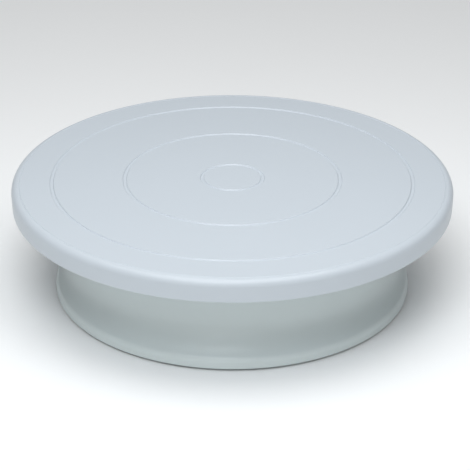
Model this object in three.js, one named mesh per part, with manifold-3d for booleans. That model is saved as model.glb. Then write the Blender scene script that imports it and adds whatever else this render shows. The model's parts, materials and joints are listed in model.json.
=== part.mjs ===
// A cake decorating turntable: a moulded plate that spins on a caged steel ball race, over a coved hollow base.
// Millimetres, +Z up. The origin is on the resting surface, under the centre of the plate.
import * as THREE from "three";
import { mergeVertices } from "three/addons/utils/BufferGeometryUtils.js";
import Module from "manifold-3d";

const wasm = await Module();
wasm.setup();

// ---- Driving dimensions ----
const PLATE_R = 140;
const OVERALL_HEIGHT = 75;
const FOOT_R = 114.3;
const PAD_PROUD = 1.5; // how far the rubber pads hold the base off the surface
const DECK_Z = 62; // top face of the base's deck, just above the bottom of the plate's skirt
const BALL_R = 3.175; // quarter-inch balls
const BALL_CIRCLE_R = 57.15;
const BALL_COUNT = 12;
const PAD_COUNT = 6;
const BASE_RIB_COUNT = 6;
const PLATE_RIB_COUNT = 12;

// ---- Facets ----
const BODY_SEGMENTS = 40;
const RACE_SEGMENTS = 36;
const SPINDLE_SEGMENTS = 20;
const PAD_SEGMENTS = 16;
const POCKET_SEGMENTS = 12;
const CUT_OVERRUN = 1; // how far a cutting tool runs past the face it cuts

// ---- Plate ----
const PLATE_WALL = 3;
const PLATE_UNDERSIDE_Z = OVERALL_HEIGHT - PLATE_WALL;
const SHOULDER_R = 4.5; // rounding between the top face and the skirt
const CREASE_R = 135; // a fine V-shaped line cut just inside the shoulder
const CREASE_HALF_WIDTH = 0.35;
const CREASE_DEPTH = 0.25;
const SKIRT_HEIGHT = 14;
const SKIRT_DRAFT = 0.3;
const SKIRT_WALL = 2.4;
const SKIRT_EDGE_R = 0.6;
const GUIDE_RADII = [19.2, 68.4, 114.5]; // guide rings for centring a cake
const GUIDE_WIDTH = 2.8;
const GUIDE_FLOOR_WIDTH = 1.6;
const GUIDE_DEPTH = 0.7;
const PLATE_RIB_Z = 64.5; // lower edge of the plate's ribs
const PLATE_RIB_WALL = 1.8;
const PLATE_RIB_NOTCH = [48.5, 65.8]; // between these radii the ribs clear the ball race
const PLATE_RIB_NOTCH_DEPTH = 2;
const PLATE_RIM_RIB_R = 107; // the outermost ring rib, where the radial ribs end
const PLATE_BOSS_R = 12;
const BOSS_FLARE = 1; // the plate's boss is this much wider where it joins the top
const PLATE_BOSS_Z = 63.7;
const PLATE_BORE_TOP_Z = 71.2;

// ---- Ball race ----
const RACE_INNER_R = 51;
const RACE_OUTER_R = 63.3;
const RACE_THICKNESS = 1.2;
const TRACK_DEPTH = 0.4;
const TRACK_HALF_WIDTH = 1.9;
const TRACK_FLOOR_HALF_WIDTH = 1.2;
const BALL_CLEARANCE = 0.1;
const SEAT_DEPTH = 0.8;
const SEAT_GAP = 0.3; // around a race ring in its seat
const REST_GAP = 0.1; // under a piece that bears on another
const LOWER_RACE_Z = DECK_Z - SEAT_DEPTH + REST_GAP;
const LOWER_TRACK_Z = LOWER_RACE_Z + RACE_THICKNESS - TRACK_DEPTH;
const BALL_Z = LOWER_TRACK_Z + BALL_CLEARANCE + BALL_R;
const UPPER_TRACK_Z = BALL_Z + BALL_R + BALL_CLEARANCE;
const UPPER_RACE_Z = UPPER_TRACK_Z - TRACK_DEPTH;
const LAND_Z = UPPER_RACE_Z + RACE_THICKNESS + REST_GAP; // the plate's land over the upper race
const LAND_LIP = 1.2;
const LAND_LIP_DEPTH = 0.8;
const CAGE_INNER_R = 51.5;
const CAGE_OUTER_R = 62.8;
const CAGE_THICKNESS = 3;
const POCKET_R = 3.5;

// ---- Base ----
const BASE_WALL = 2.6;
const BASE_BOTTOM_Z = PAD_PROUD;
const FOOT_BAND_TOP_Z = 5; // top of the upright band round the foot
const FOOT_EDGE_R = 5; // rounding between the band and the cove
const COVE_TOP = [103.1, 27]; // [r, z] where the cove runs into the neck
const NECK_TOP_R = 101.8;
const DECK_EDGE_R = 4; // rounding between the neck and the deck
const BASE_RIB_WALL = 2;
const BASE_RIB_SHALLOW_R = 48; // the ribs are at their shallowest inside this radius
const BASE_RIB_BEND = [86, 40]; // [r, z] of the bends in a rib's lower edge
const BASE_RIB_KNEE = [97, 20];
const BASE_RIB_FOOT = [99, 5];
const RACE_RIB_WALL = 2.4;
const RACE_RIB_Z = 54;
const HUB_R = 11.5;
const HUB_FLARE = 0.6; // the hub is this much wider where it joins the deck
const HUB_Z = 50;
const HUB_BORE_R = 6.7;
const HUB_COUNTERBORE_R = 9.8;
const HUB_COUNTERBORE_Z = 60.9;
const PAD_CIRCLE_R = 103;
const PAD_BOSS_R = 8.9;
const PAD_BOSS_Z = 7;
const PAD_RECESS_R = 7.3;
const PAD_RECESS_Z = 2.8;

// ---- Spindle and its fixings ----
const SPINDLE_R = 4;
const SPINDLE_Z = [48.7, 71];
const SPINDLE_CHAMFER = 0.5;
const SPINDLE_FLANGE_R = 7;
const SPINDLE_FLANGE_Z = [62.5, 63.5];
const TAPPED_HOLE_R = 2.3;
const TAPPED_HOLE_TOP_Z = 60.5;
const SPINDLE_BORE_R = 4.1; // in the plate's boss and in the bush
const BUSH_R = 6.5;
const BUSH_FLANGE_R = 9.5;
const BUSH_FLANGE_Z = [61, 62.2];
const SLIP_WASHER = { inner: 4.3, outer: 11, z: [48.8, 49.8] };
const STEEL_WASHER = { inner: 2.7, outer: 9, z: [47.5, 48.6] };
const SCREW_SHANK_R = 2.1;
const SCREW_TIP_Z = 59.5;
const SCREW_HEAD_R = 4.8;
const SCREW_HEAD_Z = [44.2, 47.4];
const SCREW_HEAD_BAND = 1.2; // straight part of the head, above its dome
const SCREW_DOME = [
  [0.55, 0.15],
  [0.88, 0.5],
]; // [share of the head's radius, share of the dome's height] of the points round the dome
const SCREW_POINT = [0.7, 1]; // how much narrower the tip is, and over what length
const RECESS_WIDTH = 1.1;
const RECESS_LENGTH = 5;
const RECESS_DEPTH = 1.8;

// ---- Rubber pads ----
const PAD_R = 7;
const PAD_TOP_Z = 2.7;
const PAD_EDGE = 0.5;

// ---- Finishes ----
const WHITE_PLATE = { color: 0xdce3ea, roughness: 0.38, metalness: 0 };
const WHITE_BASE = { color: 0xd9e1e0, roughness: 0.35, metalness: 0 };
const NATURAL_NYLON = { color: 0xece8d8, roughness: 0.5, metalness: 0 };
const RACE_STEEL = { color: 0xb9bcc0, roughness: 0.35, metalness: 1 };
const BALL_STEEL = { color: 0xd6d9dc, roughness: 0.12, metalness: 1 };
const ZINC_STEEL = { color: 0xc3c6c4, roughness: 0.4, metalness: 1 };
const GREY_RUBBER = { color: 0x8b9094, roughness: 0.85, metalness: 0 };

const degrees = THREE.MathUtils.degToRad;

/** Points [r, z] along an arc about a centre, from one angle to another, both in degrees. */
function arc(centreR, centreZ, radius, from, to, steps) {
  return Array.from({ length: steps + 1 }, (_, i) => {
    const angle = degrees(from + ((to - from) * i) / steps);
    return [centreR + radius * Math.cos(angle), centreZ + radius * Math.sin(angle)];
  });
}

/** A solid of revolution about +Z. The outline's [r, z] points run up its outside and back down its inside. */
function revolve(outline, segments) {
  const closed = [...outline, outline[0]];
  const points = closed.map(([r, z]) => new THREE.Vector2(r, z));
  return new THREE.LatheGeometry(points, segments).rotateX(Math.PI / 2);
}

/** A flat ring with square edges, standing between two heights. */
function flatRing(innerR, outerR, [lowZ, highZ], segments) {
  const outline = [
    [innerR, lowZ],
    [outerR, lowZ],
    [outerR, highZ],
    [innerR, highZ],
  ];
  return revolve(outline, segments);
}

/** An upright cylinder between two heights, at a place on a circle about +Z. */
function post(radius, [lowZ, highZ], segments, circleR, angle) {
  return new THREE.CylinderGeometry(radius, radius, highZ - lowZ, segments)
    .rotateX(Math.PI / 2)
    .translate(circleR * Math.cos(angle), circleR * Math.sin(angle), (lowZ + highZ) / 2);
}

/** An upright rib along a radius, whose side is the [r, z] outline. */
function radialRib(outline, wall, angle) {
  const side = new THREE.Shape(outline.map(([r, z]) => new THREE.Vector2(r, z)));
  return new THREE.ExtrudeGeometry(side, { depth: wall, bevelEnabled: false })
    .translate(0, 0, -wall / 2)
    .rotateX(Math.PI / 2)
    .rotateZ(angle);
}

/** The angles of a number of equal steps round a circle. */
function roundAbout(count, offset = 0) {
  return Array.from({ length: count }, (_, i) => (2 * Math.PI * (i + offset)) / count);
}

/** A closed geometry as a manifold-3d solid, with its shared vertices merged. */
function solidOf(geometry) {
  const bare = geometry.clone().deleteAttribute("normal").deleteAttribute("uv");
  const merged = mergeVertices(bare, 1e-3);
  return new wasm.Manifold(
    new wasm.Mesh({
      numProp: 3,
      vertProperties: merged.attributes.position.array,
      triVerts: new Uint32Array(merged.index.array),
    }),
  );
}

/** A manifold-3d solid as a three.js geometry. */
function geometryOf(solid) {
  const mesh = solid.getMesh();
  return new THREE.BufferGeometry()
    .setAttribute("position", new THREE.BufferAttribute(mesh.vertProperties, 3))
    .setIndex(new THREE.BufferAttribute(mesh.triVerts, 1));
}

/** One geometry with others joined on and cut away. */
function combine(body, joined, cut = []) {
  let solid = solidOf(body);
  for (const geometry of joined) solid = solid.add(solidOf(geometry));
  for (const geometry of cut) solid = solid.subtract(solidOf(geometry));
  return geometryOf(solid);
}

/** The part of one geometry that lies inside another. */
function within(geometry, envelope) {
  return geometryOf(solidOf(geometry).intersect(solidOf(envelope)));
}

/** A named mesh with its own finish. */
function piece(name, geometry, finish) {
  const mesh = new THREE.Mesh(geometry, new THREE.MeshStandardMaterial(finish));
  mesh.name = name;
  return mesh;
}

/** The plate: a flat top with guide grooves, a rounded shoulder, a skirt, and ribs and a boss underneath. */
function plateGeometry() {
  const skirtZ = OVERALL_HEIGHT - SKIRT_HEIGHT;
  const skirtR = PLATE_R - SKIRT_DRAFT;
  const shoulder = arc(PLATE_R - SHOULDER_R, OVERALL_HEIGHT - SHOULDER_R, SHOULDER_R, 0, 90, 3);
  const grooves = GUIDE_RADII.flatMap((r) => [
    [r - GUIDE_WIDTH / 2, OVERALL_HEIGHT],
    [r - GUIDE_FLOOR_WIDTH / 2, OVERALL_HEIGHT - GUIDE_DEPTH],
    [r + GUIDE_FLOOR_WIDTH / 2, OVERALL_HEIGHT - GUIDE_DEPTH],
    [r + GUIDE_WIDTH / 2, OVERALL_HEIGHT],
  ]);
  const underside = [
    [SPINDLE_BORE_R, PLATE_BORE_TOP_Z],
    [SPINDLE_BORE_R, PLATE_BOSS_Z],
    [PLATE_BOSS_R, PLATE_BOSS_Z],
    [PLATE_BOSS_R + BOSS_FLARE, PLATE_UNDERSIDE_Z],
    ...landOutline(),
    ...rimRibOutline(),
    [skirtR - SKIRT_WALL, PLATE_UNDERSIDE_Z],
    [skirtR - SKIRT_WALL, skirtZ],
    [skirtR - SKIRT_EDGE_R, skirtZ],
    [skirtR, skirtZ + SKIRT_EDGE_R],
  ];
  const top = [
    ...shoulder,
    [CREASE_R + CREASE_HALF_WIDTH, OVERALL_HEIGHT],
    [CREASE_R, OVERALL_HEIGHT - CREASE_DEPTH],
    [CREASE_R - CREASE_HALF_WIDTH, OVERALL_HEIGHT],
    ...grooves.reverse(),
  ];
  const shell = revolve([[0, PLATE_BORE_TOP_Z], ...underside, ...top, [0, OVERALL_HEIGHT]], BODY_SEGMENTS);
  const ribs = roundAbout(PLATE_RIB_COUNT, 0.5).map((angle) =>
    radialRib(plateRibOutline(), PLATE_RIB_WALL, angle),
  );
  return combine(shell, ribs);
}

/** Points round the rim rib that hangs from the plate, from its inner side to its outer one. */
function rimRibOutline() {
  return [
    [PLATE_RIM_RIB_R - PLATE_RIB_WALL / 2, PLATE_UNDERSIDE_Z],
    [PLATE_RIM_RIB_R - PLATE_RIB_WALL / 2, PLATE_RIB_Z],
    [PLATE_RIM_RIB_R + PLATE_RIB_WALL / 2, PLATE_RIB_Z],
    [PLATE_RIM_RIB_R + PLATE_RIB_WALL / 2, PLATE_UNDERSIDE_Z],
  ];
}

/** Points round the land for the upper race: a thick ring with a locating lip on each side of the seat. */
function landOutline() {
  const lipZ = LAND_Z - LAND_LIP_DEPTH;
  const [seatInner, seatOuter] = [RACE_INNER_R - SEAT_GAP, RACE_OUTER_R + SEAT_GAP];
  return [
    [seatInner - LAND_LIP, PLATE_UNDERSIDE_Z],
    [seatInner - LAND_LIP, lipZ],
    [seatInner, lipZ],
    [seatInner, LAND_Z],
    [seatOuter, LAND_Z],
    [seatOuter, lipZ],
    [seatOuter + LAND_LIP, lipZ],
    [seatOuter + LAND_LIP, PLATE_UNDERSIDE_Z],
  ];
}

/** The side of a plate rib: full depth from the boss to the rim rib, and notched over the ball race. */
function plateRibOutline() {
  const rootZ = PLATE_UNDERSIDE_Z + PLATE_WALL / 2;
  const notchZ = PLATE_UNDERSIDE_Z - PLATE_RIB_NOTCH_DEPTH;
  const [notchInner, notchOuter] = PLATE_RIB_NOTCH;
  const bossMiddleR = (PLATE_BOSS_R + SPINDLE_BORE_R) / 2;
  return [
    [bossMiddleR, PLATE_RIB_Z],
    [notchInner, PLATE_RIB_Z],
    [notchInner, notchZ],
    [notchOuter, notchZ],
    [notchOuter, PLATE_RIB_Z],
    [PLATE_RIM_RIB_R, PLATE_RIB_Z],
    [PLATE_RIM_RIB_R, rootZ],
    [bossMiddleR, rootZ],
  ];
}

/** The cove: a hollow arc, upright where it leaves the neck, that runs smoothly into the foot band's edge. */
function coveCircle() {
  const across = FOOT_R - FOOT_EDGE_R - COVE_TOP[0];
  const rise = COVE_TOP[1] - FOOT_BAND_TOP_Z;
  const radius = (across ** 2 + rise ** 2 - FOOT_EDGE_R ** 2) / (2 * (across + FOOT_EDGE_R));
  const sweep = THREE.MathUtils.radToDeg(Math.atan2(rise, radius - across));
  return { centreR: COVE_TOP[0] + radius, radius, sweep };
}

/** The base's wall above its foot band, set in by a distance: the cove, and the rounding up to the deck. */
function baseWall(inset, steps) {
  const { centreR, radius, sweep } = coveCircle();
  const cove = arc(centreR, COVE_TOP[1], radius + inset, 180 + sweep, 180, steps);
  const edgeR = NECK_TOP_R - DECK_EDGE_R;
  const rounding = arc(edgeR, DECK_Z - DECK_EDGE_R, DECK_EDGE_R - inset, 0, 90, 2);
  return [...cove, ...rounding];
}

/** The base: a foot band, a coved neck, a deck with the lower race's seat, a hub, ribs and pad bosses. */
function baseGeometry() {
  const deckUnderZ = DECK_Z - BASE_WALL;
  const raceRib = [BALL_CIRCLE_R - RACE_RIB_WALL / 2, BALL_CIRCLE_R + RACE_RIB_WALL / 2];
  const bandEdge = arc(FOOT_R - FOOT_EDGE_R, FOOT_BAND_TOP_Z, FOOT_EDGE_R, 0, coveCircle().sweep, 3);
  const outside = [[FOOT_R, BASE_BOTTOM_Z], ...bandEdge.slice(0, -1), ...baseWall(0, 4)];
  const innerWall = baseWall(BASE_WALL, 3).reverse();
  const bandInnerR = innerWall.at(-1)[0];
  const deck = [
    [RACE_OUTER_R + SEAT_GAP, DECK_Z],
    [RACE_OUTER_R + SEAT_GAP, DECK_Z - SEAT_DEPTH],
    [RACE_INNER_R - SEAT_GAP, DECK_Z - SEAT_DEPTH],
    [RACE_INNER_R - SEAT_GAP, DECK_Z],
    [HUB_COUNTERBORE_R, DECK_Z],
    [HUB_COUNTERBORE_R, HUB_COUNTERBORE_Z],
    [HUB_BORE_R, HUB_COUNTERBORE_Z],
  ];
  const inside = [
    [HUB_BORE_R, HUB_Z],
    [HUB_R, HUB_Z],
    [HUB_R + HUB_FLARE, deckUnderZ],
    [raceRib[0], deckUnderZ],
    [raceRib[0], RACE_RIB_Z],
    [raceRib[1], RACE_RIB_Z],
    [raceRib[1], deckUnderZ],
    ...innerWall,
    [bandInnerR, BASE_BOTTOM_Z],
  ];
  const shell = revolve([...outside, ...deck, ...inside], BODY_SEGMENTS);
  const core = revolve(coreOutline(), BODY_SEGMENTS);
  const padAngles = roundAbout(PAD_COUNT);
  const ribs = roundAbout(BASE_RIB_COUNT).map((angle) =>
    within(radialRib(baseRibOutline(), BASE_RIB_WALL, angle), core),
  );
  const bosses = padAngles.map((angle) =>
    within(post(PAD_BOSS_R, [BASE_BOTTOM_Z, PAD_BOSS_Z], PAD_SEGMENTS, PAD_CIRCLE_R, angle), core),
  );
  const recesses = padAngles.map((angle) =>
    post(PAD_RECESS_R, [0, PAD_RECESS_Z], PAD_SEGMENTS, PAD_CIRCLE_R, angle),
  );
  return combine(shell, [...ribs, ...bosses], recesses);
}

/** The middle of the base's wall, closed to the axis: ribs and bosses end inside the wall. */
function coreOutline() {
  const wall = baseWall(BASE_WALL / 2, 4);
  return [[0, 0], [wall[0][0], 0], ...wall, [0, DECK_Z - BASE_WALL / 2]];
}

/** The side of a base rib: shallow under the deck, then deep where it runs down the wall to a pad boss. */
function baseRibOutline() {
  const hubMiddleR = (HUB_R + HUB_BORE_R) / 2;
  return [
    [hubMiddleR, HUB_Z],
    [BASE_RIB_SHALLOW_R, HUB_Z],
    BASE_RIB_BEND,
    BASE_RIB_KNEE,
    BASE_RIB_FOOT,
    [FOOT_R, BASE_RIB_FOOT[1]],
    [FOOT_R, DECK_Z],
    [hubMiddleR, DECK_Z],
  ];
}

/** A steel race ring from its back to its face, where the track has sloping sides and a flat floor. */
function raceGeometry(backZ, faceZ) {
  const floorZ = faceZ - Math.sign(faceZ - backZ) * TRACK_DEPTH;
  const outline = [
    [RACE_INNER_R, backZ],
    [RACE_OUTER_R, backZ],
    [RACE_OUTER_R, faceZ],
    [BALL_CIRCLE_R + TRACK_HALF_WIDTH, faceZ],
    [BALL_CIRCLE_R + TRACK_FLOOR_HALF_WIDTH, floorZ],
    [BALL_CIRCLE_R - TRACK_FLOOR_HALF_WIDTH, floorZ],
    [BALL_CIRCLE_R - TRACK_HALF_WIDTH, faceZ],
    [RACE_INNER_R, faceZ],
  ];
  return revolve(faceZ > backZ ? outline : outline.reverse(), RACE_SEGMENTS);
}

/** The cage: a flat nylon ring with one round pocket for each ball. */
function cageGeometry() {
  const heights = [BALL_Z - CAGE_THICKNESS / 2, BALL_Z + CAGE_THICKNESS / 2];
  const ring = flatRing(CAGE_INNER_R, CAGE_OUTER_R, heights, RACE_SEGMENTS);
  const through = [heights[0] - CUT_OVERRUN, heights[1] + CUT_OVERRUN];
  const pockets = roundAbout(BALL_COUNT).map((angle) =>
    post(POCKET_R, through, POCKET_SEGMENTS, BALL_CIRCLE_R, angle),
  );
  return combine(ring, [], pockets);
}

/** The spindle: a flanged steel pin with a tapped hole in its lower end. */
function spindleGeometry() {
  const outline = [
    [0, TAPPED_HOLE_TOP_Z],
    [TAPPED_HOLE_R, TAPPED_HOLE_TOP_Z],
    [TAPPED_HOLE_R, SPINDLE_Z[0]],
    [SPINDLE_R, SPINDLE_Z[0]],
    [SPINDLE_R, SPINDLE_FLANGE_Z[0]],
    [SPINDLE_FLANGE_R, SPINDLE_FLANGE_Z[0]],
    [SPINDLE_FLANGE_R, SPINDLE_FLANGE_Z[1]],
    [SPINDLE_R, SPINDLE_FLANGE_Z[1]],
    [SPINDLE_R, SPINDLE_Z[1] - SPINDLE_CHAMFER],
    [SPINDLE_R - SPINDLE_CHAMFER, SPINDLE_Z[1]],
    [0, SPINDLE_Z[1]],
  ];
  return revolve(outline, SPINDLE_SEGMENTS);
}

/** The bush: an acetal sleeve with a flange that sits in the hub's counterbore. */
function bushGeometry() {
  const outline = [
    [SPINDLE_BORE_R, HUB_Z],
    [BUSH_R, HUB_Z],
    [BUSH_R, BUSH_FLANGE_Z[0]],
    [BUSH_FLANGE_R, BUSH_FLANGE_Z[0]],
    [BUSH_FLANGE_R, BUSH_FLANGE_Z[1]],
    [SPINDLE_BORE_R, BUSH_FLANGE_Z[1]],
  ];
  return revolve(outline, SPINDLE_SEGMENTS);
}

/** The screw: a domed head, facing down, with a cross recess, and a plain shank up into the spindle. */
function screwGeometry() {
  const [domeZ, seatZ] = SCREW_HEAD_Z;
  const bandZ = seatZ - SCREW_HEAD_BAND;
  const dome = SCREW_DOME.map(([out, up]) => [SCREW_HEAD_R * out, domeZ + (bandZ - domeZ) * up]);
  const outline = [
    [0, domeZ],
    ...dome,
    [SCREW_HEAD_R, bandZ],
    [SCREW_HEAD_R, seatZ],
    [SCREW_SHANK_R, seatZ],
    [SCREW_SHANK_R, SCREW_TIP_Z - SCREW_POINT[1]],
    [SCREW_SHANK_R - SCREW_POINT[0], SCREW_TIP_Z],
    [0, SCREW_TIP_Z],
  ];
  const depth = RECESS_DEPTH + CUT_OVERRUN;
  const slot = new THREE.BoxGeometry(RECESS_LENGTH, RECESS_WIDTH, depth).translate(
    0,
    0,
    domeZ + RECESS_DEPTH - depth / 2,
  );
  const crossSlot = slot.clone().rotateZ(Math.PI / 2);
  return combine(revolve(outline, SPINDLE_SEGMENTS), [], [slot, crossSlot]);
}

/** A rubber pad: a disc with a bevelled lower edge, standing on the surface. */
function padGeometry() {
  const outline = [
    [0, 0],
    [PAD_R - PAD_EDGE, 0],
    [PAD_R, PAD_EDGE],
    [PAD_R, PAD_TOP_Z],
    [0, PAD_TOP_Z],
  ];
  return revolve(outline, PAD_SEGMENTS);
}

/** A name with a number of two digits, counted from 1. */
function numbered(name, index) {
  return `${name}_${String(index + 1).padStart(2, "0")}`;
}

/** Everything that turns with the plate. */
function spinningGroup() {
  const upperRace = raceGeometry(UPPER_RACE_Z + RACE_THICKNESS, UPPER_RACE_Z);
  const washer = flatRing(STEEL_WASHER.inner, STEEL_WASHER.outer, STEEL_WASHER.z, SPINDLE_SEGMENTS);
  return new THREE.Group().add(
    piece("turntable_plate", plateGeometry(), WHITE_PLATE),
    piece("upper_race", upperRace, RACE_STEEL),
    piece("spindle", spindleGeometry(), ZINC_STEEL),
    piece("retaining_washer", washer, ZINC_STEEL),
    piece("retaining_screw", screwGeometry(), ZINC_STEEL),
  );
}

/** The cage and its balls, which turn at half the plate's speed. */
function bearingGroup() {
  const group = new THREE.Group().add(piece("ball_cage", cageGeometry(), NATURAL_NYLON));
  roundAbout(BALL_COUNT).forEach((angle, i) => {
    const ball = piece(numbered("bearing_ball", i), new THREE.IcosahedronGeometry(BALL_R, 1), BALL_STEEL);
    ball.position.set(BALL_CIRCLE_R * Math.cos(angle), BALL_CIRCLE_R * Math.sin(angle), BALL_Z);
    group.add(ball);
  });
  return group;
}

/** Everything that stays still on the surface. */
function standingGroup() {
  const lowerRace = raceGeometry(LOWER_RACE_Z, LOWER_RACE_Z + RACE_THICKNESS);
  const slipWasher = flatRing(SLIP_WASHER.inner, SLIP_WASHER.outer, SLIP_WASHER.z, SPINDLE_SEGMENTS);
  const group = new THREE.Group().add(
    piece("base_shell", baseGeometry(), WHITE_BASE),
    piece("lower_race", lowerRace, RACE_STEEL),
    piece("hub_bush", bushGeometry(), NATURAL_NYLON),
    piece("slip_washer", slipWasher, NATURAL_NYLON),
  );
  roundAbout(PAD_COUNT).forEach((angle, i) => {
    const pad = piece(numbered("foot_pad", i), padGeometry(), GREY_RUBBER);
    pad.position.set(PAD_CIRCLE_R * Math.cos(angle), PAD_CIRCLE_R * Math.sin(angle), 0);
    group.add(pad);
  });
  return group;
}

const turntable = new THREE.Group();
turntable.add(standingGroup(), bearingGroup(), spinningGroup());

export default turntable;
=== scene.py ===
"""Fine surfaces, finishes, floor, light and camera for a cake turntable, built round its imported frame.

Sizes in the profiles are in millimetres, and every mesh is made in metres. A profile is a list of (r, z)
corners, each with the radius of its fillet, in order round the section of the piece.
"""

import json
import math

import bmesh
import bpy
import numpy as np
from mathutils import Matrix, Vector


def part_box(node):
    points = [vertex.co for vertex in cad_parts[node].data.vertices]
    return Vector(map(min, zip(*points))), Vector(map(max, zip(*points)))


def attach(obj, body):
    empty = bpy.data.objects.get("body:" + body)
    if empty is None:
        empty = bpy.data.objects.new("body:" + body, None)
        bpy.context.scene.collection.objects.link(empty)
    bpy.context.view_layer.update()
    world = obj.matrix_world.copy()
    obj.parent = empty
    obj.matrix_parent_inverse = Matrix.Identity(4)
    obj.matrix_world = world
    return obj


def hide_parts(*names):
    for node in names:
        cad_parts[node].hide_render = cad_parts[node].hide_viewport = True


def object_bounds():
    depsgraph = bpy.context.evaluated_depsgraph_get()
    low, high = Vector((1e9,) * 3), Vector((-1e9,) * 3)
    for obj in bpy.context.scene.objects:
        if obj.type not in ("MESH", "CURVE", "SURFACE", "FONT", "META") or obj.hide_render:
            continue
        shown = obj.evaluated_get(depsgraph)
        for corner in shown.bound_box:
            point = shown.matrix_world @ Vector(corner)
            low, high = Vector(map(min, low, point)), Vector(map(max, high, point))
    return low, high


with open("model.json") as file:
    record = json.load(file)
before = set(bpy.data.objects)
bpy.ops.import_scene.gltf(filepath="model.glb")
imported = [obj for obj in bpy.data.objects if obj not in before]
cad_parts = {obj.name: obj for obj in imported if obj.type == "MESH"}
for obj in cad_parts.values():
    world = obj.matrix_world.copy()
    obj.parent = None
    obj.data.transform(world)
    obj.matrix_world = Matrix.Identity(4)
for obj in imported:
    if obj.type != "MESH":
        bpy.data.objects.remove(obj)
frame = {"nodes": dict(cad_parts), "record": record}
CAD_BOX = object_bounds()

bl_info = {
    "name": "Cake Turntable",
    "version": (1, 0, 0),
    "blender": (4, 5, 0),
    "location": "View3D > Sidebar > Turntable",
    "description": "Builds a cake decorating turntable with its ball race, finishes, floor and light",
    "category": "Add Mesh",
}

MM = 0.001

# How finely the surfaces are divided
RACE_COLUMNS = 144
SMALL_COLUMNS = 72
FILLET_STEPS = 6
HOLD = 0.04  # mm from a fillet's end to the ring that keeps the flat beside it flat
SLIVER = 0.004  # mm, narrower than any real face: slivers left by a cut are closed up
SHARP_DEGREES = 42  # edges that bend more than this are shaded sharp


# ---- Colour ----


def linear(hex_colour):
    """sRGB hex to linear: c / 12.92 below 0.04045, else ((c + 0.055) / 1.055) to the power 2.4."""
    srgb = np.array([int(hex_colour[i : i + 2], 16) for i in (0, 2, 4)]) / 255
    toe, curve = srgb / 12.92, ((srgb + 0.055) / 1.055) ** 2.4
    return tuple(float(c) for c in np.where(srgb <= 0.04045, toe, curve))


PLATE_COLOUR = linear("c2cad1")
BASE_COLOUR = linear("d0dada")
NYLON_COLOUR = linear("e6e1cf")
STEEL_COLOUR = linear("a9acb0")
BALL_COLOUR = linear("c9ccd0")
ZINC_COLOUR = linear("b4b8ba")
RUBBER_COLOUR = linear("84898c")
FLOOR_COLOUR = linear("fbfcfc")


# ---- Settings ----


def length(name, description, millimetres):
    """A length property whose default is given in millimetres."""
    return bpy.props.FloatProperty(
        name=name, description=description, default=millimetres * MM, min=0, unit="LENGTH", precision=5
    )


def colour(name, description, default):
    """A colour property with a linear default."""
    return bpy.props.FloatVectorProperty(
        name=name, description=description, default=default, size=3, min=0, max=1, subtype="COLOR"
    )


class PlateSettings(bpy.types.PropertyGroup):
    """Sizes and colour of the plate."""

    guide_width: length("Guide width", "Width of each engraved guide ring at the top face", 2.8)
    guide_depth: length("Guide depth", "Depth of each engraved guide ring", 0.7)
    shoulder: length("Shoulder", "Radius of the rounding between the top face and the skirt", 4.5)
    wall: length("Wall", "Thickness of the plate's top", 3)
    skirt_wall: length("Skirt wall", "Thickness of the plate's skirt", 2.4)
    colour: colour("Colour", "Plastic of the plate", PLATE_COLOUR)


class BaseSettings(bpy.types.PropertyGroup):
    """Sizes and colour of the base."""

    wall: length("Wall", "Thickness of the base's wall and deck", 2.6)
    band_height: length("Band height", "Height of the upright band round the foot", 3.5)
    band_edge: length("Band edge", "Rounding between the band and the cove", 5)
    deck_edge: length("Deck edge", "Rounding between the neck and the deck", 4)
    colour: colour("Colour", "Plastic of the base", BASE_COLOUR)


class BearingSettings(bpy.types.PropertyGroup):
    """Sizes and colours of the ball race."""

    track_depth: length("Track depth", "Depth of the rolled track in each race", 0.4)
    pocket: length("Pocket", "Radius of each pocket in the cage", 3.5)
    steel: colour("Steel", "Strip steel of the races", STEEL_COLOUR)
    ball: colour("Ball", "Polished steel of the balls", BALL_COLOUR)
    nylon: colour("Nylon", "Plastic of the cage, bush and slip washer", NYLON_COLOUR)


class FixingSettings(bpy.types.PropertyGroup):
    """Sizes and colours of the spindle, its fixings and the pads."""

    thread_pitch: length("Thread pitch", "Distance between the turns of the screw's thread", 1.25)
    zinc: colour("Zinc", "Plating of the spindle, washer and screw", ZINC_COLOUR)
    rubber: colour("Rubber", "Rubber of the pads", RUBBER_COLOUR)


class StageSettings(bpy.types.PropertyGroup):
    """Camera, light and floor."""

    lens: bpy.props.FloatProperty(
        name="Lens", description="Focal length of the camera", default=141.8, min=1, unit="CAMERA"
    )
    light: bpy.props.FloatProperty(
        name="Light", description="Strength of all the studio light together", default=1, min=0
    )
    floor: colour("Floor", "Colour of the floor", FLOOR_COLOUR)


# ---- Profiles ----


def fillet(before, corner, after, radius):
    """The arc of a radius that touches both sides of a corner, with a holding point beyond each end.

    The arc's centre is on the corner's bisector, radius / sin(half the corner's angle) from the corner.
    """
    to_before, to_after = before - corner, after - corner
    span_before, span_after = np.linalg.norm(to_before), np.linalg.norm(to_after)
    to_before, to_after = to_before / span_before, to_after / span_after
    half = math.acos(float(np.clip(to_before @ to_after, -1, 1))) / 2
    if radius <= 0 or half > math.pi / 2 - 1e-3:
        return corner[None]
    reach = radius / math.tan(half)
    bisector = (to_before + to_after) / np.linalg.norm(to_before + to_after)
    centre = corner + bisector * radius / math.sin(half)
    start, end = corner + to_before * reach, corner + to_after * reach
    sweep = math.pi - 2 * half
    share = np.linspace(0, 1, FILLET_STEPS + 1)[:, None]
    arm_start, arm_end = start - centre, end - centre
    arms = np.sin((1 - share) * sweep) * arm_start + np.sin(share * sweep) * arm_end
    turned = centre + arms / math.sin(sweep)
    return np.array([start + to_before * HOLD, *turned, end + to_after * HOLD])


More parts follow.
